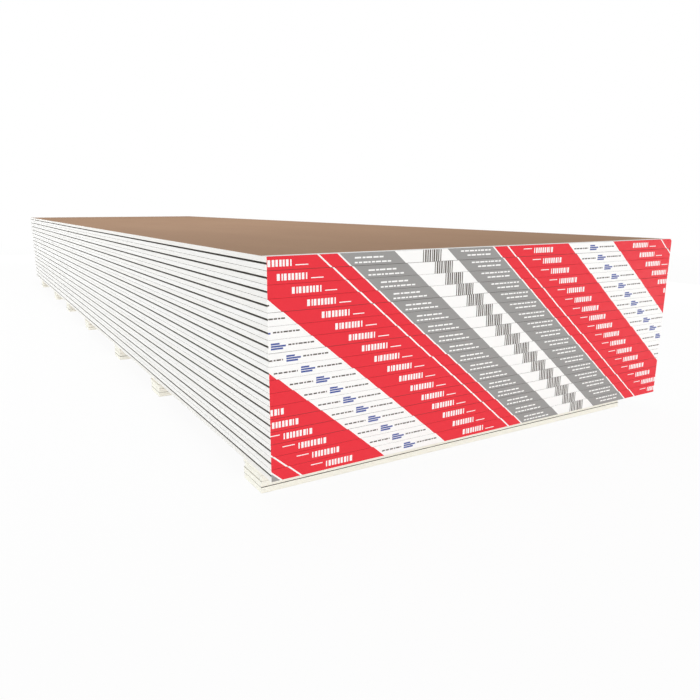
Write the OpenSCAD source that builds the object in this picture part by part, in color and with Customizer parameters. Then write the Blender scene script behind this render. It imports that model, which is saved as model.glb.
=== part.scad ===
// A lift of drywall: sheets taped face to face in pairs, stacked on risers glued up from
// strips of board. X runs across the sheets and Y along them, with the near end at -Y.
// The origin is on the floor, under the middle of the lift.

/* [Sheets] */
// Width of a sheet, over its two wrapped edges
sheet_width = 1219.2; // [600:0.1:1400]
// Length of a sheet, between its two cut ends
sheet_length = 4267.2; // [1800:0.1:4900]
// Thickness of a sheet
sheet_thickness = 12.7; // [9:0.1:16]
// Number of pairs in the lift
pair_count = 17; // [1:1:17]

/* [Wrapped edges] */
// Width of the taper along each long edge of the face
taper_width = 64; // [40:1:80]
// How far the taper falls at the edge
taper_depth = 1.9; // [0.5:0.1:2.3]
// Rounding of the paper where it is folded round an edge
wrap_radius = 1.0; // [0.2:0.1:1.5]

/* [End tapes] */
// Thickness of the paper tape
tape_thickness = 0.18; // [0.1:0.01:0.4]
// Width of the lap that is folded onto each back
tape_lap = 22; // [10:1:40]
// Bare sheet left at both ends of a tape
tape_inset = 0.5; // [0.5:0.1:10]
// Rounding of the cut end where the tape is folded over it
fold_radius = 0.9; // [0.1:0.1:1.5]

/* [Risers] */
// Number of risers under the lift
riser_count = 7; // [3:1:9]
// Width of a riser, along the sheets
riser_width = 92; // [60:1:110]
// How far the risers stop short of the left edge
riser_left_setback = 6; // [0:0.1:150]
// How far the risers stop short of the right edge
riser_right_setback = 65; // [0:0.1:150]
// Space between the near tape's lap and the first riser
riser_near_space = 41; // [5:1:300]
// Space between the last riser and the far tape's lap
riser_far_space = 235; // [5:1:300]

/* [Riser strips] */
// Number of strips glued into one riser
strip_count = 4; // [2:1:5]
// Thickness of a strip
strip_thickness = 12.7; // [9:0.1:16]
// Thickness of the line of glue between two strips
glue_line = 0.3; // [0.1:0.1:0.6]
// Most that a strip's end lies off its riser's end
strip_end_stray = 1; // [0:0.5:5]
// Most that a strip's side lies off its riser's side
strip_side_stray = 0.6; // [0:0.1:2]

/* [Hidden] */
// Steps in the arc of a wrapped edge or a fold
arc_steps = 4;
// Turn between one strip and the next in the run of strays, so that no two are alike
stray_turn = 137.5;
// How far each riser was set down from its even place, from the near end
riser_strays = [0, 130, 40, 78, 48, -68, 0];
half_width = sheet_width / 2;
half_length = sheet_length / 2;
pair_height = 2 * sheet_thickness;
pair_pitch = pair_height + 2 * tape_thickness;
strip_pitch = strip_thickness + glue_line;
riser_height = strip_count * strip_pitch - glue_line;
riser_length = sheet_width - riser_left_setback - riser_right_setback;
first_riser = tape_lap + riser_near_space;
last_riser = sheet_length - tape_lap - riser_far_space - riser_width;
riser_pitch = (last_riser - first_riser) / (riser_count - 1);
taper_angle = atan(taper_depth / taper_width);
paper_white = "#f4f1ea";
tape_red = "#e63c46";
gypsum_cream = "#f3ecdf";

function two_digits(i) = str(i < 10 ? "0" : "", i);
function sheet_name(i) = str("sheet_", two_digits(i));
function tapes_name(i) = str("end_tapes_", two_digits(i));
function riser_name(i) = str("riser_", i);

// Height of the underside of a pair, counted from 0 at the bottom
function pair_floor(pair) = riser_height + pair * pair_pitch;

// Points of an arc between two angles
function arc(centre, radius, from, to) = [
    for (k = [0 : arc_steps])
        let (angle = from + (to - from) * k / arc_steps)
            centre + radius * [cos(angle), sin(angle)]
];

// Right half of a sheet's section, from the middle of the back to the middle of the face
function right_outline() =
    let (
        back_centre = [half_width - wrap_radius, wrap_radius],
        face_drop = wrap_radius * (1 - sin(taper_angle)) / cos(taper_angle),
        face_centre = [half_width - wrap_radius, sheet_thickness - taper_depth - face_drop]
    )
    concat(
        arc(back_centre, wrap_radius, -90, 0),
        arc(face_centre, wrap_radius, 0, 90 - taper_angle),
        [[half_width - taper_width, sheet_thickness]]
    );

// Section of a sheet with its back down and its tapered face up
module sheet_section() {
    right = right_outline();
    left = [for (k = [len(right) - 1 : -1 : 0]) [-right[k].x, right[k].y]];
    polygon(concat(right, left));
}

// Side view of a sheet with its back down, rounded where the tapes fold round its cut ends
module sheet_side() {
    fold_centre = half_length - fold_radius;
    polygon(concat(
        arc([-fold_centre, fold_radius], fold_radius, -180, -90),
        arc([fold_centre, fold_radius], fold_radius, -90, 0),
        [[half_length, sheet_thickness], [-half_length, sheet_thickness]]
    ));
}

// A sheet by its place in the lift: odd ones lie face up, even ones face down on them
module sheet(i) {
    pair = floor((i - 1) / 2);
    face_down = i % 2 == 0;
    color(paper_white)
        translate([0, 0, pair_floor(pair) + (face_down ? pair_height : 0)])
            mirror([0, 0, face_down ? 1 : 0])
                intersection() {
                    rotate([90, 0, 0])
                        linear_extrude(sheet_length, center = true)
                            sheet_section();
                    rotate([90, 0, 90])
                        linear_extrude(sheet_width, center = true)
                            sheet_side();
                }
}

// One side of a tape, from the lap under a pair to the lap on it, for a radius of its folds
function tape_outline(radius) =
    let (
        low_fold = [fold_radius, fold_radius],
        high_fold = [fold_radius, pair_height - fold_radius],
        lift = radius - fold_radius
    )
    concat(
        [[tape_lap, -lift]],
        arc(low_fold, radius, -90, -180),
        arc(high_fold, radius, 180, 90),
        [[tape_lap, pair_height + lift]]
    );

// Section of a tape folded over the end of a pair, whose corner is the section's origin
module tape_section() {
    inside = tape_outline(fold_radius);
    outside = tape_outline(fold_radius + tape_thickness);
    polygon(concat(outside, [for (k = [len(inside) - 1 : -1 : 0]) inside[k]]));
}

// The near and far tapes of a pair
module end_tapes(i) {
    for (far = [0, 1])
        color(tape_red)
            mirror([0, far, 0])
                translate([tape_inset - half_width, -half_length, pair_floor(i - 1)])
                    rotate([90, 0, 90])
                        linear_extrude(sheet_width - 2 * tape_inset)
                            tape_section();
}

// One strip of a riser, a little off its place as it was glued
module strip(turn) {
    end_stray = strip_end_stray * sin(turn);
    side_stray = strip_side_stray * cos(turn);
    translate([end_stray, side_stray, 0])
        cube([riser_length, riser_width, strip_thickness]);
}

// A riser by its place from the near end
module riser(i) {
    stray = i <= len(riser_strays) ? riser_strays[i - 1] : 0;
    start = first_riser + (i - 1) * riser_pitch + stray;
    color(gypsum_cream)
        translate([riser_left_setback - half_width, start - half_length, 0])
            for (layer = [0 : strip_count - 1])
                translate([0, 0, layer * strip_pitch])
                    strip(stray_turn * (i * strip_count + layer));
}

for (i = [1 : 2 * pair_count])
    sheet(i);
for (i = [1 : pair_count])
    end_tapes(i);
for (i = [1 : riser_count])
    riser(i);
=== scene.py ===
"""Looks of a lift of drywall: taped pairs of sheets on risers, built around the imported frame."""

import math
import random
from collections import Counter
from typing import NamedTuple

import bmesh
import bpy
from bpy.props import FloatProperty, FloatVectorProperty, IntProperty, PointerProperty
from bpy.types import Operator, Panel, PropertyGroup
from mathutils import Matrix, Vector, noise
from mathutils.geometry import delaunay_2d_cdt


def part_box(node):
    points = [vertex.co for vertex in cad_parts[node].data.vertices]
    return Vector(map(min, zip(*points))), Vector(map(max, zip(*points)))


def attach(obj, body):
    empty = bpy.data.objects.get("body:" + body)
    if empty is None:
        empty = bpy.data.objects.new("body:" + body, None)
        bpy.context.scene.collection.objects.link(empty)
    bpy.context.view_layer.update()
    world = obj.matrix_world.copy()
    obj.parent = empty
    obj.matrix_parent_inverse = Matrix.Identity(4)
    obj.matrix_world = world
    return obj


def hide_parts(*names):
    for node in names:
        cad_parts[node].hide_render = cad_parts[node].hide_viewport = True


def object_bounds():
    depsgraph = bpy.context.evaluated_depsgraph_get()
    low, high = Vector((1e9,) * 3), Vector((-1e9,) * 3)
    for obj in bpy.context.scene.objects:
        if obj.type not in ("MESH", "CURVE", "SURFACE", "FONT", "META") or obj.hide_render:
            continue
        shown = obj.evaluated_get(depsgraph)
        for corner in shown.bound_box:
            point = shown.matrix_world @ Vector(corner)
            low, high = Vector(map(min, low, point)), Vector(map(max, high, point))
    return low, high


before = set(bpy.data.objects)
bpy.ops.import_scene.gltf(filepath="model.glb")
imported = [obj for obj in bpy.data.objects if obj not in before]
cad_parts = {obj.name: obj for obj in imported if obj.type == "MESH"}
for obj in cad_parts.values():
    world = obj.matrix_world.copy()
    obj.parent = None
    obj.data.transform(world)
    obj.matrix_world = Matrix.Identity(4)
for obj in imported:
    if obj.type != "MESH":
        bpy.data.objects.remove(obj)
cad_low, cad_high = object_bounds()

bl_info = {
    "name": "Drywall lift",
    "version": (1, 0, 0),
    "blender": (4, 5, 0),
    "location": "3D View > Sidebar > Drywall lift",
    "description": "Dresses the sheets, end tapes and risers of a lift of drywall",
    "category": "Object",
}

MM = 0.001
BODY = "root"

# Names of the frame's nodes, from the bottom up or from the near end
SHEETS = sorted(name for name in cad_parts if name.startswith("sheet_"))
TAPES = sorted(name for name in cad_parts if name.startswith("end_tapes_"))
RISERS = sorted(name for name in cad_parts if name.startswith("riser_"))

# Sizes that the frame gives, in metres
sheet_low, sheet_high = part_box(SHEETS[0])
_, tape_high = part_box(TAPES[0])
HALF_WIDTH = sheet_high.x
HALF_LENGTH = sheet_high.y
THICKNESS = sheet_high.z - sheet_low.z
TAPE_THICKNESS = tape_high.y - sheet_high.y
TAPE_INSET = sheet_high.x - tape_high.x

# Seeds of the random draws
BATCH_SEED = 7
TAPE_SEED = 11

# Places of the finishes in a sheet's list and in a riser's; the groove and joint places, and the band of
# the inner sheets, hold painted shade
BACK, WRAP, CORE, GROOVE_SHADE, BAND = range(5)
PAPER, BREAK, JOINT_SHADE = range(3)


def srgb(code):
    """A colour in Blender's linear values, from the six hex digits of its screen value."""
    shares = [int(code[k:k + 2], 16) / 255 for k in (0, 2, 4)]
    return [s / 12.92 if s <= 0.04045 else ((s + 0.055) / 1.055) ** 2.4 for s in shares]


def length(name, description, default):
    """A property that holds a length in metres."""
    return FloatProperty(
        name=name, description=description, default=default, unit="LENGTH", precision=5
    )


def amount(name, description, default):
    """A property that holds a plain number, such as a share or a strength."""
    return FloatProperty(name=name, description=description, default=default, precision=3)


def angle(name, description, degrees):
    """A property that holds an angle."""
    return FloatProperty(
        name=name, description=description, default=math.radians(degrees), subtype="ANGLE"
    )


def arc_count(description, default):
    """A property that holds the number of steps in an arc."""
    return IntProperty(name="Arc steps", description=description, default=default, min=2)


def colour(name, description, code):
    """A property that holds a colour."""
    return FloatVectorProperty(
        name=name,
        description=description,
        default=srgb(code),
        subtype="COLOR",
        size=3,
        min=0,
        max=1,
    )


class SheetSettings(PropertyGroup):
    """Sizes of a drywall sheet"""

    taper_width: length("Taper width", "Width of the taper along each long edge", 64 * MM)
    taper_depth: length("Taper depth", "How far the taper falls at the edge", 1.9 * MM)
    wrap_radius: length("Wrap radius", "Rounding of the paper folded round an edge", 1.0 * MM)
    # On the sheets inside the lift this band takes painted shade, which darkens the joints between pairs
    band: length("Band", "Strip along the back's edges that is dark inside the lift", 9 * MM)
    band_waver: length("Band waver", "Most that the band's inner edge wavers", 0.8 * MM)
    wander: length("Edge wander", "Most that a long edge lies inside its line", 0.5 * MM)
    station: length("Station", "Distance between two sections along a sheet", 90 * MM)
    arc_steps: arc_count("Steps in the arc of a wrapped edge", 4)


class TapeSettings(PropertyGroup):
    """Sizes of the end tapes and of their print"""

    thickness: length("Thickness", "Thickness of the paper tape", TAPE_THICKNESS)
    lap: length("Lap", "Width of the lap folded onto each back", 22 * MM)
    fold_radius: length("Fold radius", "Rounding of the sheet under a fold", 0.9 * MM)
    cut_stray: length("Cut stray", "Most that a tape's end is cut short", 0.3 * MM)
    arc_steps: arc_count("Steps in the arc of a fold", 3)
    broad_stripe: length("Broad stripe", "Width of a broad red stripe", 199.5 * MM)
    narrow_stripe: length("Narrow stripe", "Width of a narrow red stripe", 39.5 * MM)
    thin_line: length("Thin line", "Bare line beside a narrow stripe", 4.75 * MM)
    grey_stripe: length("Grey stripe", "Width of a grey stripe", 130 * MM)
    bar_field: length("Bar field", "Bare field of the upright bars", 138 * MM)
    dash_field: length("Dash field", "Bare field of the dark dashes", 168.5 * MM)
    first_start: length("First start", "Where the print starts on the top tape", -79.6 * MM)
    row_step: length("Row step", "How far the print moves from a tape to the next", 31.4 * MM)
    stray: length("Stray", "Most that a tape's print lies off its place", 0.9 * MM)
    lean: amount("Lean", "Sideways run of a stripe for its height", 1.144)


class RiserSettings(PropertyGroup):
    """Sizes of the risers' strips"""

    paper: length("Paper", "Thickness of a strip's paper", 0.8 * MM)
    paper_waver: length("Paper waver", "Most that the cut paper lies inside its line", 0.4 * MM)
    joint: length("Joint", "Height of the open joint under a strip", 0.4 * MM)
    low_joint: length("Low joint", "Height of the lowest joint", 0.85 * MM)
    floor_edge: length("Floor edge", "Height of the worn edge on the floor", 0.5 * MM)
    undercut: amount("Undercut", "Depth of an open joint or worn edge for its height", 1.2)
    break_depth: length("Break depth", "Most that the broken core lies inside its line", 1.1 * MM)
    break_grain: length("Break grain", "Size of the lumps of the broken core", 9 * MM)
    station: length("Station", "Distance between two points round a strip", 7 * MM)


class FinishSettings(PropertyGroup):
    """Colours of the finishes"""

    kraft: colour("Kraft", "Back paper of a sheet", "AA8A71")
    kraft_light: colour("Light kraft", "Lighter fibres of the back paper", "B5967D")
    kraft_dark: colour("Dark kraft", "Darker fibres of the back paper", "93765E")
    ivory: colour("Ivory", "Face paper folded round a sheet's edges", "F8F8F6")
    ivory_warm: colour("Warm ivory", "Warmer clouds of the face paper", "F1EFE9")
    # Painted shade: a dark colour that stands for the shade in the joints inside the lift and under the
    # risers' strips
    painted_shade: colour("Shaded paper", "Paper inside the lift, out of the light", "5A5650")
    # Painted shade: the face and tapers of every sheet take this grey, so that the grooves between the
    # sheets of a pair look dark
    groove_shade: colour("Groove", "Face paper deep in a pair's groove", "7E7972")
    gypsum: colour("Gypsum", "Core of a sheet", "FEFEF6")
    # This deeper tone gives the riser paper its random clouds, and is painted shade in the hollows of
    # the broken core
    gypsum_deep_and_pit_shade: colour("Deep gypsum", "Hollows of the broken core", "F8F6EA")
    tape_paper: colour("Tape paper", "Bare paper of the tapes", "FCFCFA")
    red: colour("Red ink", "Red stripes of the tapes", "EB3440")
    grey: colour("Grey ink", "Grey stripes of the tapes", "9C9B99")
    dark: colour("Dark ink", "Dark bars and dashes of the tapes", "645E59")
    blue: colour("Blue ink", "Blue bars of the tapes", "4C5CA0")


class StageSettings(PropertyGroup):
    """Camera, light and floor"""

    azimuth: angle("Azimuth", "Turn of the camera round the lift", -30.125)
    elevation: angle("Elevation", "How far the camera looks down", 13.003)
    place: FloatVectorProperty(
        name="Camera place",
        description="Where the camera stands",
        default=(-1.0796, -3.1724, 0.5792),
        subtype="TRANSLATION",
        unit="LENGTH",
    )
    lens: amount("Lens", "Focal length in millimetres", 32.221)
    shift: amount("Shift", "Sideways shift of the lens, as a share of the frame", 0.0286)
    sky: amount("Sky", "Strength of the soft light from all round", 0.42)
    key_strength: amount("Key strength", "Strength of the low front light", 2.05)
    key_azimuth: angle("Key azimuth", "Turn of the front light round the lift", -41.0)
    key_elevation: angle("Key elevation", "How high the front light stands", 6.0)
    key_spread: angle("Key spread", "Width of the front light, which softens its shadows", 14.0)
    side_glow: amount("Side glow", "Radiance of the low panels beside the far sides", 6.2)
    side_gap: length("Side gap", "How far those panels stand from the lift", 3.0)
    side_height: length("Side height", "Height of those panels", 0.44)
    top_power: amount("Top power", "Power of the lamp above the lift in watts", 53.0)
    top_height: length("Top height", "Height of the lamp above the lift's top", 2.0)
    top_width: length("Top width", "Width of the lamp above the lift", 3.0)
    top_length: length("Top length", "Length of the lamp above the lift", 5.0)
    top_offset: length("Top offset", "How far that lamp hangs behind the lift's middle", 0.5)
    floor_size: length("Floor size", "Width of the floor", 240.0)
    floor_white: amount("Floor white", "Share of plain white in the floor near the lift", 0.95)
    shadow_near: length("Shadow near", "How far the shadow keeps its full share", 3.2)
    shadow_far: length("Shadow far", "Where the floor is plain white", 7.0)


class LiftSettings(PropertyGroup):
    """All settings of the lift"""

    sheets: PointerProperty(type=SheetSettings)
    tapes: PointerProperty(type=TapeSettings)
    risers: PointerProperty(type=RiserSettings)
    finishes: PointerProperty(type=FinishSettings)
    stage: PointerProperty(type=StageSettings)


# Node groups that several finishes share

# Scale of the fibres along a sheet, which draws them out
FIBRE_STRETCH = 0.35


def group_tree(name, inputs, outputs):
    """A new shader node group with these float sockets, its input node and its output node."""
    tree = bpy.data.node_groups.new(name, "ShaderNodeTree")
    for socket in inputs:
        tree.interface.new_socket(socket, in_out="INPUT", socket_type="NodeSocketFloat")
    for socket in outputs:
        tree.interface.new_socket(socket, in_out="OUTPUT", socket_type="NodeSocketFloat")
    return tree, tree.nodes.new("NodeGroupInput"), tree.nodes.new("NodeGroupOutput")


def noise_node(tree, place, detail, roughness):
    """A noise texture read at a place."""
    made = tree.nodes.new("ShaderNodeTexNoise")
    made.inputs["Detail"].default_value = detail
    made.inputs["Roughness"].default_value = roughness
    tree.links.new(place, made.inputs["Vector"])
    return made


def fibre_group():
    """Felted paper: the height of its fibres, and the clouds that it shows against the light."""
    name = "Paper fibres"
    if name in bpy.data.node_groups:
        return bpy.data.node_groups[name]
    tree, given, put = group_tree(name, ("Fibre Scale", "Cloud Scale"), ("Height", "Clouds"))
    place = tree.nodes.new("ShaderNodeTexCoord")
    along = tree.nodes.new("ShaderNodeMapping")
    along.inputs["Scale"].default_value = (1.0, FIBRE_STRETCH, 1.0)
    tree.links.new(place.outputs["Object"], along.inputs["Vector"])
    fibres = noise_node(tree, along.outputs["Vector"], detail=5.0, roughness=0.7)
    fibres.inputs["Distortion"].default_value = 0.6
    clouds = noise_node(tree, along.outputs["Vector"], detail=4.0, roughness=0.55)
    tree.links.new(given.outputs["Fibre Scale"], fibres.inputs["Scale"])
    tree.links.new(given.outputs["Cloud Scale"], clouds.inputs["Scale"])
    tree.links.new(fibres.outputs["Fac"], put.inputs["Height"])
    tree.links.new(clouds.outputs["Fac"], put.inputs["Clouds"])
    return tree


def chalk_group():
    """Broken gypsum: the height of its crumbs and pits, and a mask of its hollows."""
    name = "Chalk crumbs"
    if name in bpy.data.node_groups:
        return bpy.data.node_groups[name]
    tree, given, put = group_tree(name, ("Crumb Scale",), ("Height", "Hollows"))
    place = tree.nodes.new("ShaderNodeTexCoord")
    crumbs = noise_node(tree, place.outputs["Object"], detail=8.0, roughness=0.68)
    pits = tree.nodes.new("ShaderNodeTexVoronoi")
    tree.links.new(place.outputs["Object"], pits.inputs["Vector"])
    for texture in (crumbs, pits):
        tree.links.new(given.outputs["Crumb Scale"], texture.inputs["Scale"])
    both = tree.nodes.new("ShaderNodeMath")
    both.operation = "MULTIPLY"
    tree.links.new(crumbs.outputs["Fac"], both.inputs[0])
    tree.links.new(pits.outputs["Distance"], both.inputs[1])
    hollows = tree.nodes.new("ShaderNodeMapRange")
    hollows.inputs["From Min"].default_value = 0.42
    hollows.inputs["From Max"].default_value = 0.12
    tree.links.new(both.outputs["Value"], hollows.inputs["Value"])
    tree.links.new(both.outputs["Value"], put.inputs["Height"])
    tree.links.new(hollows.outputs["Result"], put.inputs["Hollows"])
    return tree


# Finishes


class Relief(NamedTuple):
    """A paper's relief: the scales of its fibres and clouds, and the strength and depth of its bumps."""

    fibre_scale: float
    cloud_scale: float
    strength: float
    depth: float


KRAFT_RELIEF = Relief(420.0, 5.0, 0.35, 0.15 * MM)
FACE_RELIEF = Relief(600.0, 14.0, 0.2, 0.08 * MM)
STRIP_RELIEF = Relief(420.0, 30.0, 0.3, 0.1 * MM)
TAPE_RELIEF = Relief(700.0, 60.0, 0.2, 0.06 * MM)
# Scale of the darker fibres of the back paper
FLECK_SCALE = 95.0
# Level of the sheen of most finishes, and of the back paper's
PAPER_SHEEN = 0.25
KRAFT_SHEEN = 0.06
# Clouds and hollows between these values take a finish from its low to its high roughness
CLOUD_LOW, CLOUD_HIGH = 0.3, 0.7
BARE_ROUGHNESS = (0.6, 0.75)
INK_ROUGHNESS = (0.45, 0.6)
# How far each batch of face paper goes from the plain ivory to the warm one
BATCH_WARMTHS = (0.0, 0.12, 0.25)


def placed_group(material, group, **values):
    """A node group placed in a material with its own values."""
    node = material.node_tree.nodes.new("ShaderNodeGroup")
    node.node_tree = group
    for socket, value in values.items():
        node.inputs[socket.replace("_", " ")].default_value = value
    return node


def new_finish(name, base, sheen=PAPER_SHEEN):
    """A matt material of one base colour, and its shader."""
    material = bpy.data.materials.new(name)
    material.use_nodes = True
    shader = material.node_tree.nodes["Principled BSDF"]
    shader.inputs["Base Color"].default_value = (*base, 1.0)
    shader.inputs["Specular IOR Level"].default_value = sheen
    material.diffuse_color = (*base, 1.0)
    return material, shader


def add_bump(material, shader, height, strength, depth):
    """Leads a height into the shader's normal."""
    tree = material.node_tree
    bump = tree.nodes.new("ShaderNodeBump")
    bump.inputs["Strength"].default_value = strength
    bump.inputs["Distance"].default_value = depth
    tree.links.new(height, bump.inputs["Height"])
    tree.links.new(bump.outputs["Normal"], shader.inputs["Normal"])


def add_fibres(material, shader, relief):
    """Gives a finish the relief of a paper, and gives back the paper's node."""
    fibres = placed_group(
        material, fibre_group(), Fibre_Scale=relief.fibre_scale, Cloud_Scale=relief.cloud_scale
    )
    add_bump(material, shader, fibres.outputs["Height"], relief.strength, relief.depth)
    return fibres


def add_crumbs(material, shader, scale, strength, depth):
    """Gives a finish the relief of gypsum, and gives back the gypsum's node."""
    chalk = placed_group(material, chalk_group(), Crumb_Scale=scale)
    add_bump(material, shader, chalk.outputs["Height"], strength, depth)
    return chalk


def add_range(material, value, start, end, low, high):
    """A value that goes from low to high while another goes from start to end."""
    tree = material.node_tree
    spread = tree.nodes.new("ShaderNodeMapRange")
    spread.inputs["From Min"].default_value = start
    spread.inputs["From Max"].default_value = end
    spread.inputs["To Min"].default_value = low
    spread.inputs["To Max"].default_value = high
    tree.links.new(value, spread.inputs["Value"])
    return spread.outputs["Result"]


def add_roughness(material, shader, clouds, low, high):
    """Leads a paper's clouds or a core's hollows into the shader's roughness."""
    rough = add_range(material, clouds, CLOUD_LOW, CLOUD_HIGH, low, high)
    material.node_tree.links.new(rough, shader.inputs["Roughness"])


def add_mix(material, mask, first, second, socket=None):
    """A mix of two colours by a mask, led into a socket if there is one."""
    tree = material.node_tree
    mix = tree.nodes.new("ShaderNodeMix")
    mix.data_type = "RGBA"
    tree.links.new(mask, mix.inputs["Factor"])
    for end, tone in (("A", first), ("B", second)):
        inlet = next(s for s in mix.inputs if s.name == end and s.type == "RGBA")
        if isinstance(tone, bpy.types.NodeSocket):
            tree.links.new(tone, inlet)
        else:
            inlet.default_value = (*tone, 1.0)
    result = next(s for s in mix.outputs if s.type == "RGBA")
    if socket:
        tree.links.new(result, socket)
    return result


def kraft_finish(finishes):
    """Back paper: brown, cloudy, with lighter and darker fibres along the sheet."""
    material, shader = new_finish("kraft_back", finishes.kraft, KRAFT_SHEEN)
    fibres = add_fibres(material, shader, KRAFT_RELIEF)
    clouds = fibres.outputs["Clouds"]
    flecks = placed_group(material, fibre_group(), Fibre_Scale=FLECK_SCALE).outputs["Height"]
    cloud_mask = add_range(material, clouds, start=0.32, end=0.68, low=0.0, high=0.45)
    fleck_mask = add_range(material, flecks, start=0.58, end=0.78, low=0.0, high=0.6)
    clouded = add_mix(material, cloud_mask, finishes.kraft, finishes.kraft_light)
    add_mix(material, fleck_mask, clouded, finishes.kraft_dark, shader.inputs["Base Color"])
    add_roughness(material, shader, clouds, 0.78, 0.92)
    return material


def outer_ivory_finish(finishes):
    """Face paper that shows on the top and bottom sheets, with warmer clouds."""
    material, shader = new_finish("ivory_wrap_outer", finishes.ivory)
    clouds = add_fibres(material, shader, FACE_RELIEF).outputs["Clouds"]
    add_mix(material, clouds, finishes.ivory, finishes.ivory_warm, shader.inputs["Base Color"])
    add_roughness(material, shader, clouds, 0.62, 0.78)
    return material


def even_paper(name, base, relief, roughness):
    """Paper of one even colour."""
    material, shader = new_finish(name, base)
    shader.inputs["Roughness"].default_value = roughness
    add_fibres(material, shader, relief)
    return material


def hidden_kraft_finish(finishes):
    """Back paper of the sheets inside the lift, plain in colour."""
    return even_paper("kraft_back_inside", finishes.kraft, KRAFT_RELIEF, 0.85)


def ivory_finish(finishes, number, warmth):
    """Face paper of one batch, between the plain ivory and the warm one."""
    tone = Vector(finishes.ivory).lerp(Vector(finishes.ivory_warm), warmth)
    return even_paper(f"ivory_wrap_{number}", tone, FACE_RELIEF, 0.7)


def painted_shade_finish(name, base):
    """Plain dark paper that stands for the shade inside the lift: painted shade, made once for all
    pieces.
    """
    if name in bpy.data.materials:
        return bpy.data.materials[name]
    return even_paper(name, base, FACE_RELIEF, 0.8)


def cut_core_finish(finishes):
    """Sawn gypsum at a sheet's cut ends."""
    material, shader = new_finish("gypsum_cut", finishes.gypsum)
    shader.inputs["Roughness"].default_value = 0.92
    add_crumbs(material, shader, scale=900.0, strength=0.4, depth=0.3 * MM)
    return material


def broken_core_finish(finishes):
    """Scored and snapped gypsum at the sides of a riser's strips."""
    material, shader = new_finish("gypsum_broken", finishes.gypsum)
    chalk = add_crumbs(material, shader, scale=420.0, strength=0.7, depth=0.8 * MM)
    hollows = chalk.outputs["Hollows"]
    # Painted shade: the deeper gypsum goes where the crumbs' height is low
    add_mix(material, hollows, finishes.gypsum, finishes.gypsum_deep_and_pit_shade, shader.inputs["Base Color"])
    add_roughness(material, shader, hollows, 0.86, 0.96)
    return material


def cut_paper_finish(finishes):
    """Paper of a riser's strips, rubbed and dusted with gypsum."""
    material, shader = new_finish("riser_paper", finishes.ivory_warm)
    clouds = add_fibres(material, shader, STRIP_RELIEF).outputs["Clouds"]
    add_mix(material, clouds, finishes.gypsum_deep_and_pit_shade, finishes.gypsum, shader.inputs["Base Color"])
    add_roughness(material, shader, clouds, 0.75, 0.9)
    return material


def ink_finish(name, base, roughness):
    """Tape paper or one ink on it: an even colour whose sheen follows the paper's clouds."""
    material, shader = new_finish(name, base)
    clouds = add_fibres(material, shader, TAPE_RELIEF).outputs["Clouds"]
    add_roughness(material, shader, clouds, *roughness)
    return material


# Meshes

# Faces that meet at more than this angle keep a sharp edge
SHARP_ANGLE = math.radians(35)
# Number of the parts of a slow wave, and the range of their rates in radians a metre
WAVE_PARTS = 3
WAVE_RATES = (0.6, 3.2)
# How much faster the inner edge of a band wavers than a sheet's own edge
BAND_RATE = 9


def add_piece(name, points, faces, slots, materials, node, smooth):
    """A closed piece from points and faces, on the lift's body, in place of a frame node."""
    mesh = bpy.data.meshes.new(name)
    mesh.from_pydata(points, [], faces)
    for material in materials:
        mesh.materials.append(material)
    mesh.polygons.foreach_set("material_index", slots)
    turned = bmesh.new()
    turned.from_mesh(mesh)
    bmesh.ops.recalc_face_normals(turned, faces=turned.faces)
    turned.to_mesh(mesh)
    turned.free()
    mesh.polygons.foreach_set("use_smooth", [smooth] * len(mesh.polygons))
    if smooth:
        mesh.set_sharp_from_angle(angle=SHARP_ANGLE)
    piece = bpy.data.objects.new(name, mesh)
    bpy.context.scene.collection.objects.link(piece)
    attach(piece, BODY)
    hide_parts(node)


def arc(centre, radius, start, end, steps):
    """Points of an arc between two angles in degrees."""
    angles = [math.radians(start + (end - start) * k / steps) for k in range(steps + 1)]
    return [(centre[0] + radius * math.cos(a), centre[1] + radius * math.sin(a)) for a in angles]


def as_share(value):
    """A value between -1 and 1 as one between 0 and 1."""
    return 0.5 + 0.5 * value


def slow_wave(seed):
    """A smooth wave along a sheet that stays between 0 and 1."""
    draw = random.Random(seed)
    parts = [(draw.uniform(*WAVE_RATES), draw.uniform(0, math.tau)) for _ in range(WAVE_PARTS)]
    return lambda y: as_share(sum(math.sin(rate * y + turn) for rate, turn in parts) / WAVE_PARTS)


def sheet_outline(sheets):
    """Section of a sheet with its back at height 0, round from the right band to the left one."""
    radius = sheets.wrap_radius
    lean = math.atan(sheets.taper_depth / sheets.taper_width)
    face_drop = radius * (1 - math.sin(lean)) / math.cos(lean)
    back_centre = (HALF_WIDTH - radius, radius)
    face_centre = (HALF_WIDTH - radius, THICKNESS - sheets.taper_depth - face_drop)
    face_end = 90 - math.degrees(lean)
    right = [
        (HALF_WIDTH - sheets.band, 0.0),
        *arc(back_centre, radius, -90, 0, sheets.arc_steps),
        *arc(face_centre, radius, 0, face_end, sheets.arc_steps),
        (HALF_WIDTH - sheets.taper_width, THICKNESS),
    ]
    return right + [(-across, high) for across, high in reversed(right)]


def sheet_stations(sheets, fold_radius):
    """Places of the sections along a sheet, with how far the back is rounded away at each."""
    fold = [
        (fold_radius - across, fold_radius - high)
        for across, high in arc((0, 0), fold_radius, 0, 90, sheets.arc_steps)
    ]
    flat_half = HALF_LENGTH - fold_radius
    count = round(2 * flat_half / sheets.station)
    middle = [(flat_half * (2 * k / count - 1), 0.0) for k in range(1, count)]
    near = [(inset - HALF_LENGTH, lift) for inset, lift in fold]
    far = [(HALF_LENGTH - inset, lift) for inset, lift in reversed(fold)]
    return near + middle + far


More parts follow.
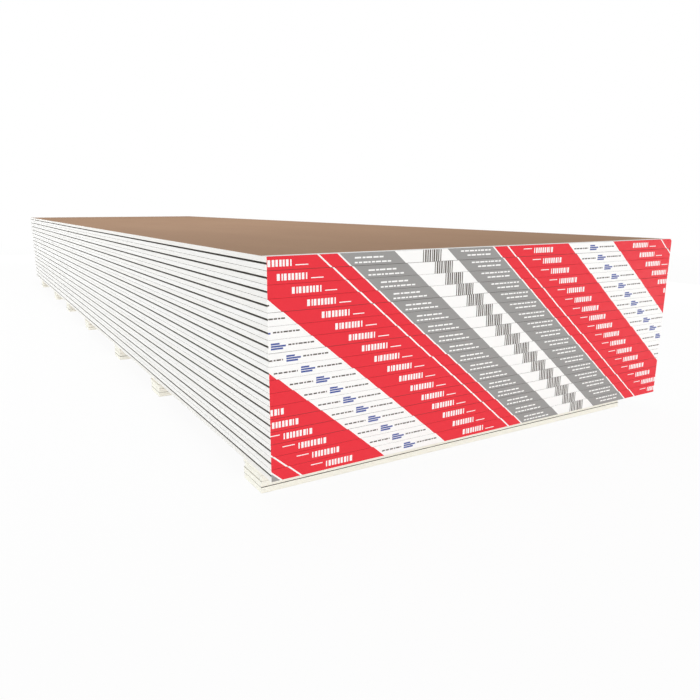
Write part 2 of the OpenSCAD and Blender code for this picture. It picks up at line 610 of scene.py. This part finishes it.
def add_sheet(number, settings, materials):
    """One sheet: odd ones lie face up, even ones face down on them."""
    sheets = settings.sheets
    outline = sheet_outline(sheets)
    stations = sheet_stations(sheets, settings.tapes.fold_radius)
    low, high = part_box(SHEETS[number - 1])
    face_down = number % 2 == 0
    left_edge, right_edge = slow_wave(2 * number), slow_wave(2 * number + 1)
    left_band, right_band = slow_wave(-2 * number), slow_wave(-2 * number - 1)
    bands = {0: right_band, len(outline) - 1: left_band}
    taper_start = HALF_WIDTH - sheets.taper_width
    points = []
    for y, lift in stations:
        for k, (across, up) in enumerate(outline):
            edge = right_edge if across > 0 else left_edge
            reach = max(0.0, (abs(across) - taper_start) / sheets.taper_width)
            inset = reach * sheets.wander * edge(y)
            if k in bands:
                inset += sheets.band_waver * bands[k](BAND_RATE * y)
            x = across - math.copysign(inset, across)
            z = max(up, lift)
            points.append((x, y, high.z - z if face_down else low.z + z))
    # Row k of the faces lies between points k and k + 1 of a section
    ring = len(outline)
    # The band rows take painted shade on the inner sheets and kraft on the outer ones
    band_rows = (0, 1, ring - 3, ring - 2)
    # The face and its tapers take the painted groove shade
    face_rows = range(ring // 2 - 2, ring // 2 + 1)
    row_slots = {ring - 1: BACK} | dict.fromkeys(band_rows, BAND) | dict.fromkeys(face_rows, GROOVE_SHADE)
    faces, slots = [], []
    for j in range(len(stations) - 1):
        for k in range(ring):
            n = (k + 1) % ring
            faces.append((j * ring + k, j * ring + n, (j + 1) * ring + n, (j + 1) * ring + k))
            slots.append(row_slots.get(k, WRAP))
    last = (len(stations) - 1) * ring
    faces += [tuple(range(ring)), tuple(last + k for k in reversed(range(ring)))]
    slots += [CORE, CORE]
    name = f"drywall_sheet_{number:02d}"
    add_piece(name, points, faces, slots, materials, SHEETS[number - 1], True)


# The tapes' print, in millimetres along a tape and up from its middle


class MarkRow(NamedTuple):
    """A plain bar, or a row of dashes: its place in a stripe, its ink, and its usual dash and gap."""

    start: float
    end: float
    low: float
    high: float
    ink: str
    dash: float = 0
    gap: float = 0


class Stripe(NamedTuple):
    """A stripe of the print: its ink, its width, its rows of marks and if they are turned round."""

    ink: str
    width: float
    rows: tuple = ()
    turned: bool = False


# Inks of the tapes; the last one is painted shade between pairs
INKS = ("paper", "red", "grey", "dark", "blue", "painted_shade")
# Shares of its usual length that a dash or a gap may have, and the least that is left for a dash
DASH_SPREAD = (0.6, 1.4)
GAP_SPREAD = (0.7, 1.3)
LEAST_DASH = 0.3
# Points nearer to each other than this are one point
MERGE_DISTANCE = 1e-4
# Steps of a fold that may take painted shade where the next pair covers it
SHADED_STEPS = (1, 2)
BROAD_ROWS = (
    MarkRow(68, 131, -6.2, 6.2, "paper", 4.4, 2.7),
    MarkRow(139, 166, -5.4, -3.6, "paper"),
)
GREY_ROWS = (
    MarkRow(20, 88, 1.4, 4.6, "paper", 11, 2.4),
    MarkRow(20, 107, -7.9, -4.9, "paper", 9, 2.4),
)
BAR_ROWS = (MarkRow(58, 109.5, -12.7, 12.7, "dark", 3.4, 2.4),)
DASH_ROWS = (
    MarkRow(8, 59, -2.4, 0.6, "dark", 7, 1.8),
    MarkRow(66, 84, 2.9, 6.4, "blue"),
    MarkRow(66, 97, -1.7, 1.7, "blue"),
    MarkRow(66, 91, -6.4, -2.9, "blue"),
    MarkRow(102, 161, -0.6, 2.4, "dark", 7, 1.8),
)


def print_cycle(tapes):
    """Stripes of one repeat of the print, from its first broad stripe."""
    line = Stripe("paper", tapes.thin_line / MM)
    narrow = Stripe("red", tapes.narrow_stripe / MM)
    broad = Stripe("red", tapes.broad_stripe / MM, BROAD_ROWS)
    grey = Stripe("grey", tapes.grey_stripe / MM, GREY_ROWS)
    half = [broad, line, narrow, line, grey]
    bars = Stripe("paper", tapes.bar_field / MM, BAR_ROWS)
    dashes = Stripe("paper", tapes.dash_field / MM, DASH_ROWS)
    return half + [bars] + [stripe._replace(turned=True) for stripe in reversed(half)] + [dashes]


def dash_spans(row, seed):
    """Ends of a bar, or of a row's dashes, of uneven lengths that are the same on every tape."""
    if not row.gap:
        yield row.start, row.end
        return
    draw = random.Random(seed)
    at = row.start
    while at < row.end - LEAST_DASH * row.dash:
        reach = min(row.end, at + row.dash * draw.uniform(*DASH_SPREAD))
        yield at, reach
        at = reach + row.gap * draw.uniform(*GAP_SPREAD)


def print_marks(cycle, start):
    """Plain bars of one repeat that starts at a place, as left, right, low, high and ink."""
    at = start
    for stripe in cycle:
        for k, row in enumerate(stripe.rows):
            for left, right in dash_spans(row, k + len(stripe.rows)):
                low, high = row.low, row.high
                if stripe.turned:
                    left, right = stripe.width - right, stripe.width - left
                    low, high = -high, -low
                yield at + left, at + right, low, high, row.ink
        at += stripe.width


class TapePlan:
    """A tape laid flat: its outline, folds, stripes and marks, and where its points go."""

    def __init__(self, tapes, start, left, right, shade_below, shade_above):
        self.shade_below, self.shade_above = shade_below, shade_above
        self.lean = tapes.lean
        self.start = start
        self.left, self.right = left, right
        self.radius = tapes.fold_radius / MM
        self.thick = tapes.thickness / MM
        self.web_half = THICKNESS / MM - self.radius
        self.fold_length = (self.radius + self.thick) * math.pi / 2
        self.print_half = self.web_half + self.fold_length
        self.edge = self.print_half + tapes.lap / MM - self.radius
        self.fold_levels = [
            self.web_half + self.fold_length * k / tapes.arc_steps
            for k in range(tapes.arc_steps + 1)
        ]
        self.cycle = print_cycle(tapes)
        self.period = sum(stripe.width for stripe in self.cycle)
        first = math.floor((left - start) / self.period) - 1
        last = math.ceil((right - start) / self.period) + 1
        self.repeats = [start + n * self.period for n in range(first, last)]
        self.marks = [
            (max(a, left), min(b, right), low, high, ink)
            for repeat in self.repeats
            for a, b, low, high, ink in print_marks(self.cycle, repeat)
            if b > left and a < right
        ]

    def stripe_edges(self):
        """Places of the stripes' edges at the middle of the tape."""
        for repeat in self.repeats:
            at = repeat
            for stripe, following in zip(self.cycle, self.cycle[1:] + self.cycle[:1]):
                at += stripe.width
                if stripe.ink != following.ink:
                    yield at

    def partition(self):
        """Points and triangles of the flat tape, cut along folds, stripes and marks."""
        points, lines = [], []

        def add_line(a, b):
            lines.append((len(points), len(points) + 1))
            points.extend((Vector(a), Vector(b)))

        levels = [self.edge, *self.fold_levels]
        for v in [*levels, *(-level for level in levels)]:
            add_line((self.left, v), (self.right, v))
        for u in (self.left, self.right):
            add_line((u, -self.edge), (u, self.edge))
        slant = self.lean * self.print_half
        for u in self.stripe_edges():
            if self.left - slant < u < self.right + slant:
                add_line((u - slant, self.print_half), (u + slant, -self.print_half))
        for a, b, low, high, _ in self.marks:
            add_line((a, low), (b, low))
            add_line((b, low), (b, high))
            add_line((b, high), (a, high))
            add_line((a, high), (a, low))
        corners, _, cells, *_ = delaunay_2d_cdt(points, lines, [], 0, MERGE_DISTANCE)
        flat = [(corner.x, corner.y) for corner in corners]
        inside = []
        for face in cells:
            middle = sum(flat[k][0] for k in face) / len(face)
            if self.left < middle < self.right:
                inside.append(face)
        used = sorted({k for face in inside for k in face})
        place = {k: n for n, k in enumerate(used)}
        return [flat[k] for k in used], [tuple(place[k] for k in face) for face in inside]

    def bare_ink(self, v):
        """Ink of the unprinted tape at a level: painted shade where it lies between two pairs."""
        steps = self.shade_above if v > 0 else self.shade_below
        return "painted_shade" if steps and abs(v) > self.fold_levels[-1 - steps] else "paper"

    def ink_at(self, u, v):
        """Ink of the flat tape at a point."""
        bare = self.bare_ink(v)
        if bare == "painted_shade" or abs(v) > self.print_half:
            return bare
        for a, b, low, high, ink in self.marks:
            if a < u < b and low < v < high:
                return ink
        along = (u + self.lean * v - self.start) % self.period
        for stripe in self.cycle:
            if along < stripe.width:
                return stripe.ink
            along -= stripe.width
        return self.cycle[-1].ink

    def folded(self, u, v, depth):
        """Place of a point once the tape is folded, at a depth below the print: along, inward and up."""
        radius = self.radius + self.thick - depth
        past = abs(v) - self.web_half
        if past <= 0:
            return u, self.radius - radius, v
        bend = min(past / self.fold_length, 1.0) * math.pi / 2
        inward = self.radius - radius * math.cos(bend) + max(0.0, past - self.fold_length)
        return u, inward, math.copysign(self.web_half + radius * math.sin(bend), v)


def add_tape(name, plan, far, middle_height, materials, node):
    """One tape over the near or the far end of a pair, with its thickness."""
    flat, triangles = plan.partition()
    turn = -1 if far else 1
    points = []
    for depth in (0.0, plan.thick):
        for u, v in flat:
            along, inward, up = plan.folded(u, v, depth)
            x = turn * (along * MM - HALF_WIDTH)
            y = turn * (inward * MM - HALF_LENGTH)
            points.append((x, y, middle_height + up * MM))
    faces, slots = [], []
    for face in triangles:
        u = sum(flat[k][0] for k in face) / len(face)
        v = sum(flat[k][1] for k in face) / len(face)
        faces.append(face)
        slots.append(INKS.index(plan.ink_at(u, v)))
    under = len(flat)
    faces += [tuple(under + k for k in reversed(face)) for face in triangles]
    slots += [INKS.index("paper")] * len(triangles)
    sides = [(a, b) for face in triangles for a, b in zip(face, face[1:] + face[:1])]
    uses = Counter(frozenset(side) for side in sides)
    for a, b in sides:
        if uses[frozenset((a, b))] == 1:
            faces.append((b, a, under + a, under + b))
            # Side edges of the laps between pairs take painted shade
            slots.append(INKS.index(plan.bare_ink((flat[a][1] + flat[b][1]) / 2)))
    add_piece(name, points, faces, slots, materials, node, False)


# Risers

# Slack in finding the corners of one strip among those of its riser
LEVEL_SLACK = 0.1 * MM
# Levels of the broken core, as shares of its height
CORE_LEVELS = (0.0, 0.06, 0.28, 0.5, 0.72, 0.94, 1.0)
# Lumps of the broken core: how the finer ones fade, how much finer each layer is, and the layers
LUMP_FALL, LUMP_STEP, LUMP_LAYERS = 0.6, 2.0, 3


def strip_boxes(node):
    """Low and high corners of each strip of a riser, from the bottom up."""
    corners = [vertex.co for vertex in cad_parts[node].data.vertices]
    heights = sorted({round(corner.z, 6) for corner in corners})
    for low, high in zip(heights[::2], heights[1::2]):
        layer = [c for c in corners if low - LEVEL_SLACK < c.z < high + LEVEL_SLACK]
        xs, ys = [c.x for c in layer], [c.y for c in layer]
        yield Vector((min(xs), min(ys), low)), Vector((max(xs), max(ys), high))


def round_points(low, high, step):
    """Points round a rectangle with the way inward at each."""
    corners = [(low.x, low.y), (high.x, low.y), (high.x, high.y), (low.x, high.y)]
    inward = [(0, 1), (-1, 0), (0, -1), (1, 0)]
    found = []
    for k, (start, way) in enumerate(zip(corners, inward)):
        end = corners[(k + 1) % 4]
        span = math.dist(start, end)
        count = max(2, round(span / step))
        before = inward[k - 1]
        for n in range(count):
            t = n / count
            place = (start[0] + (end[0] - start[0]) * t, start[1] + (end[1] - start[1]) * t)
            found.append((place, way if n else (way[0] + before[0], way[1] + before[1])))
    return found


def strip_mesh(low, high, risers, joint, under, over):
    """Points, faces and slots of one strip: a broken core with a joint below and paper above."""
    core = high.z - low.z - joint - risers.paper
    levels = [0.0, *(joint + core * share for share in CORE_LEVELS), high.z - low.z]
    around = round_points(low, high, risers.station)
    points = []
    for j, level in enumerate(levels):
        at_paper = j < 2 or j > len(levels) - 3
        for (x, y), (inward_x, inward_y) in around:
            spot = Vector((x, y, low.z + level)) / risers.break_grain
            if at_paper:
                spot.z = low.z / MM
                inset = risers.paper_waver * as_share(noise.noise(spot))
                inset += 0.0 if j else risers.undercut * joint
            else:
                lumps = as_share(noise.fractal(spot, LUMP_FALL, LUMP_STEP, LUMP_LAYERS))
                inset = risers.paper_waver + risers.break_depth * min(1.0, max(0.0, lumps))
            points.append((x + inset * inward_x, y + inset * inward_y, low.z + level))
    ring = len(around)
    faces, slots = [], []
    for j in range(len(levels) - 1):
        slot = under if j == 0 else PAPER if j == len(levels) - 2 else BREAK
        for k in range(ring):
            n = (k + 1) % ring
            faces.append((j * ring + k, j * ring + n, (j + 1) * ring + n, (j + 1) * ring + k))
            slots.append(slot)
    top = (len(levels) - 1) * ring
    faces += [tuple(reversed(range(ring))), tuple(top + k for k in range(ring))]
    slots += [under, over]
    return points, faces, slots


def add_riser(number, settings, materials):
    """One riser of glued strips."""
    points, faces, slots = [], [], []
    risers = settings.risers
    node = RISERS[number - 1]
    joints = {0: risers.floor_edge, 1: risers.low_joint}
    for layer, (low, high) in enumerate(strip_boxes(node)):
        joint = joints.get(layer, risers.joint)
        # Painted shade on the open joint under each strip above the floor, and on the top of the floor
        # strip
        under, over = (JOINT_SHADE, PAPER) if layer else (PAPER, JOINT_SHADE)
        strip_points, strip_faces, strip_slots = strip_mesh(low, high, risers, joint, under, over)
        first = len(points)
        points += strip_points
        faces += [tuple(first + k for k in face) for face in strip_faces]
        slots += strip_slots
    name = f"board_riser_{number}"
    add_piece(name, points, faces, slots, materials, node, True)


# Operators


class DRYWALL_OT_sheets(Operator):
    """Build the sheets with their tapered, paper-wrapped edges"""

    bl_idname = "drywall_lift.sheets"
    bl_label = "Sheets"

    def execute(self, context):
        settings = context.scene.drywall_lift
        finishes = settings.finishes
        core, wrap = cut_core_finish(finishes), outer_ivory_finish(finishes)
        painted_shade = painted_shade_finish("paper_painted_shade", finishes.painted_shade)
        groove_shade = painted_shade_finish("paper_groove_painted_shade", finishes.groove_shade)
        kraft = kraft_finish(finishes)
        outer = [kraft, wrap, core, groove_shade, kraft]
        hidden_kraft = hidden_kraft_finish(finishes)
        batches = [
            ivory_finish(finishes, number, warmth)
            for number, warmth in enumerate(BATCH_WARMTHS, start=1)
        ]
        draw = random.Random(BATCH_SEED)
        for number in range(1, len(SHEETS) + 1):
            # Inner sheets take painted shade on the band along the back's edges
            inner = [hidden_kraft, draw.choice(batches), core, groove_shade, painted_shade]
            add_sheet(number, settings, outer if number in (1, len(SHEETS)) else inner)
        return {"FINISHED"}


class DRYWALL_OT_end_tapes(Operator):
    """Build the printed tapes folded over both ends of each pair"""

    bl_idname = "drywall_lift.end_tapes"
    bl_label = "End tapes"

    def execute(self, context):
        settings = context.scene.drywall_lift
        tapes, finishes = settings.tapes, settings.finishes
        materials = [
            ink_finish("tape_paper", finishes.tape_paper, BARE_ROUGHNESS),
            ink_finish("tape_red", finishes.red, INK_ROUGHNESS),
            ink_finish("tape_grey", finishes.grey, INK_ROUGHNESS),
            ink_finish("tape_dark", finishes.dark, INK_ROUGHNESS),
            ink_finish("tape_blue", finishes.blue, INK_ROUGHNESS),
            painted_shade_finish("paper_painted_shade", finishes.painted_shade),
        ]
        draw = random.Random(TAPE_SEED)
        for number, node in enumerate(TAPES, start=1):
            row = len(TAPES) - number
            low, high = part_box(node)
            for side in ("near", "far"):
                start = tapes.first_start + row * tapes.row_step
                start += tapes.stray * draw.uniform(-1, 1)
                left = TAPE_INSET + tapes.cut_stray * draw.random()
                right = 2 * HALF_WIDTH - TAPE_INSET - tapes.cut_stray * draw.random()
                # Folds and laps between two pairs take painted shade: one or two steps below, one step
                # above
                shade_below = draw.choice(SHADED_STEPS) if number > 1 else 0
                shade_above = min(SHADED_STEPS) if row else 0
                plan = TapePlan(tapes, start / MM, left / MM, right / MM, shade_below, shade_above)
                name = f"end_tape_{side}_{number:02d}"
                middle = (low.z + high.z) / 2
                add_tape(name, plan, side == "far", middle, materials, node)
        return {"FINISHED"}


class DRYWALL_OT_risers(Operator):
    """Build the risers from strips of scored and snapped board"""

    bl_idname = "drywall_lift.risers"
    bl_label = "Risers"

    def execute(self, context):
        settings = context.scene.drywall_lift
        finishes = settings.finishes
        materials = [
            cut_paper_finish(finishes),
            broken_core_finish(finishes),
            painted_shade_finish("paper_painted_shade", finishes.painted_shade),
        ]
        for number in range(1, len(RISERS) + 1):
            add_riser(number, settings, materials)
        return {"FINISHED"}


# Stage

WHITE = (1.0, 1.0, 1.0, 1.0)
FLOOR_TONE = (0.97, 0.97, 0.97, 1.0)
FLOOR_ROUGHNESS = 0.9


def floor_finish(stage):
    """White floor for the camera that keeps a soft shadow near the lift."""
    material = bpy.data.materials.new("studio_floor")
    material.use_nodes = True
    tree = material.node_tree
    shader = tree.nodes["Principled BSDF"]
    shader.inputs["Base Color"].default_value = FLOOR_TONE
    shader.inputs["Roughness"].default_value = FLOOR_ROUGHNESS
    white = tree.nodes.new("ShaderNodeEmission")
    place = tree.nodes.new("ShaderNodeTexCoord")
    away = tree.nodes.new("ShaderNodeVectorMath")
    away.operation = "LENGTH"
    whiten = tree.nodes.new("ShaderNodeMapRange")
    whiten.inputs["From Min"].default_value = stage.shadow_near
    whiten.inputs["From Max"].default_value = stage.shadow_far
    whiten.inputs["To Min"].default_value = stage.floor_white
    seen = tree.nodes.new("ShaderNodeLightPath")
    shown = tree.nodes.new("ShaderNodeMath")
    shown.operation = "ADD"
    shown.use_clamp = True
    only_seen = tree.nodes.new("ShaderNodeMath")
    only_seen.operation = "MULTIPLY"
    mix = tree.nodes.new("ShaderNodeMixShader")
    tree.links.new(place.outputs["Object"], away.inputs[0])
    tree.links.new(away.outputs["Value"], whiten.inputs["Value"])
    tree.links.new(seen.outputs["Is Camera Ray"], shown.inputs[0])
    tree.links.new(seen.outputs["Is Glossy Ray"], shown.inputs[1])
    tree.links.new(whiten.outputs["Result"], only_seen.inputs[0])
    tree.links.new(shown.outputs["Value"], only_seen.inputs[1])
    tree.links.new(only_seen.outputs["Value"], mix.inputs["Fac"])
    tree.links.new(shader.outputs["BSDF"], mix.inputs[1])
    tree.links.new(white.outputs["Emission"], mix.inputs[2])
    tree.links.new(mix.outputs["Shader"], tree.nodes["Material Output"].inputs["Surface"])
    return material


def add_floor(stage):
    """A wide floor under the risers."""
    half = stage.floor_size / 2
    mesh = bpy.data.meshes.new("studio_floor")
    corners = [(-half, -half, 0.0), (half, -half, 0.0), (half, half, 0.0), (-half, half, 0.0)]
    mesh.from_pydata(corners, [], [(0, 1, 2, 3)])
    mesh.materials.append(floor_finish(stage))
    floor = bpy.data.objects.new("studio_floor", mesh)
    bpy.context.scene.collection.objects.link(floor)


def add_world(stage):
    """Soft light from all round, which the camera sees as plain white."""
    world = bpy.data.worlds.new("studio_light")
    world.use_nodes = True
    tree = world.node_tree
    soft = tree.nodes["Background"]
    soft.inputs["Color"].default_value = WHITE
    soft.inputs["Strength"].default_value = stage.sky
    white = tree.nodes.new("ShaderNodeBackground")
    white.inputs["Color"].default_value = WHITE
    seen = tree.nodes.new("ShaderNodeLightPath")
    mix = tree.nodes.new("ShaderNodeMixShader")
    tree.links.new(seen.outputs["Is Camera Ray"], mix.inputs["Fac"])
    tree.links.new(soft.outputs["Background"], mix.inputs[1])
    tree.links.new(white.outputs["Background"], mix.inputs[2])
    tree.links.new(mix.outputs["Shader"], tree.nodes["World Output"].inputs["Surface"])
    bpy.context.scene.world = world


def look_from(azimuth, elevation):
    """Way from the lift to a place round it."""
    return Vector((
        math.sin(azimuth) * math.cos(elevation),
        -math.cos(azimuth) * math.cos(elevation),
        math.sin(elevation),
    ))


def add_lamp(lamp, place, shines):
    """Places a lamp that the camera doesn't see, shining along a way."""
    holder = bpy.data.objects.new(lamp.name, lamp)
    holder.location = place
    holder.rotation_mode = "QUATERNION"
    holder.rotation_quaternion = shines.to_track_quat("-Z", "Y")
    holder.visible_camera = False
    bpy.context.scene.collection.objects.link(holder)


def add_key(stage):
    """A broad, soft, low light from the front and the left."""
    lamp = bpy.data.lights.new("key_light", "SUN")
    lamp.energy = stage.key_strength
    lamp.angle = stage.key_spread
    add_lamp(lamp, (0.0, 0.0, 0.0), -look_from(stage.key_azimuth, stage.key_elevation))


def add_panel(name, place, shines, width, height, power):
    """A soft, flat lamp."""
    lamp = bpy.data.lights.new(name, "AREA")
    lamp.energy = power
    lamp.shape = "RECTANGLE"
    lamp.size = width
    lamp.size_y = height
    add_lamp(lamp, place, shines)


def add_panels(stage):
    """A broad lamp above the lift, and low ones beside the sides that the front light misses."""
    top = (0.0, stage.top_offset, cad_high.z + stage.top_height)
    down = Vector((0.0, 0.0, -1.0))
    add_panel("top_panel", top, down, stage.top_width, stage.top_length, stage.top_power)
    high = stage.side_height
    for name, across, width in (
        ("right_panel", Vector((1.0, 0.0, 0.0)), 2 * cad_high.y + stage.side_gap),
        ("far_panel", Vector((0.0, 1.0, 0.0)), 2 * cad_high.x + stage.side_gap),
    ):
        place = across * (across.dot(cad_high) + stage.side_gap) + Vector((0.0, 0.0, high / 2))
        power = math.pi * stage.side_glow * width * high
        add_panel(name, place, -across, width, high, power)


def add_camera(stage):
    """The camera, in front of the near end and left of it."""
    camera = bpy.data.cameras.new("camera")
    camera.lens = stage.lens
    camera.shift_x = stage.shift
    back = look_from(stage.azimuth, stage.elevation)
    eye = bpy.data.objects.new("camera", camera)
    eye.location = stage.place
    eye.rotation_mode = "QUATERNION"
    eye.rotation_quaternion = (-back).to_track_quat("-Z", "Y")
    bpy.context.scene.collection.objects.link(eye)
    bpy.context.scene.camera = eye


class DRYWALL_OT_stage(Operator):
    """Set up the floor, the soft light and the camera"""

    bl_idname = "drywall_lift.stage"
    bl_label = "Stage"

    def execute(self, context):
        stage = context.scene.drywall_lift.stage
        add_floor(stage)
        add_world(stage)
        add_key(stage)
        add_panels(stage)
        add_camera(stage)
        context.scene.view_settings.view_transform = "Standard"
        return {"FINISHED"}


class DRYWALL_PT_lift(Panel):
    """Sidebar panel of the lift"""

    bl_label = "Drywall lift"
    bl_space_type = "VIEW_3D"
    bl_region_type = "UI"
    bl_category = "Drywall lift"

    def draw(self, context):
        settings = context.scene.drywall_lift
        parts = (
            (DRYWALL_OT_sheets, settings.sheets),
            (DRYWALL_OT_end_tapes, settings.tapes),
            (DRYWALL_OT_risers, settings.risers),
            (DRYWALL_OT_stage, settings.stage),
            (None, settings.finishes),
        )
        for operator, group in parts:
            box = self.layout.box()
            for name in group.bl_rna.properties.keys():
                if name not in ("rna_type", "name"):
                    box.prop(group, name)
            if operator:
                box.operator(operator.bl_idname)


CLASSES = (
    SheetSettings,
    TapeSettings,
    RiserSettings,
    FinishSettings,
    StageSettings,
    LiftSettings,
    DRYWALL_OT_sheets,
    DRYWALL_OT_end_tapes,
    DRYWALL_OT_risers,
    DRYWALL_OT_stage,
    DRYWALL_PT_lift,
)


def register():
    """Registers the classes, and gives each scene the lift's settings."""
    for made in CLASSES:
        bpy.utils.register_class(made)
    bpy.types.Scene.drywall_lift = PointerProperty(type=LiftSettings)


def unregister():
    """Takes the settings and the classes away again."""
    del bpy.types.Scene.drywall_lift
    for made in reversed(CLASSES):
        bpy.utils.unregister_class(made)


def main():
    """Builds the lift and its stage."""
    register()
    bpy.ops.drywall_lift.sheets()
    bpy.ops.drywall_lift.end_tapes()
    bpy.ops.drywall_lift.risers()
    bpy.ops.drywall_lift.stage()


if __name__ == "__main__":
    main()
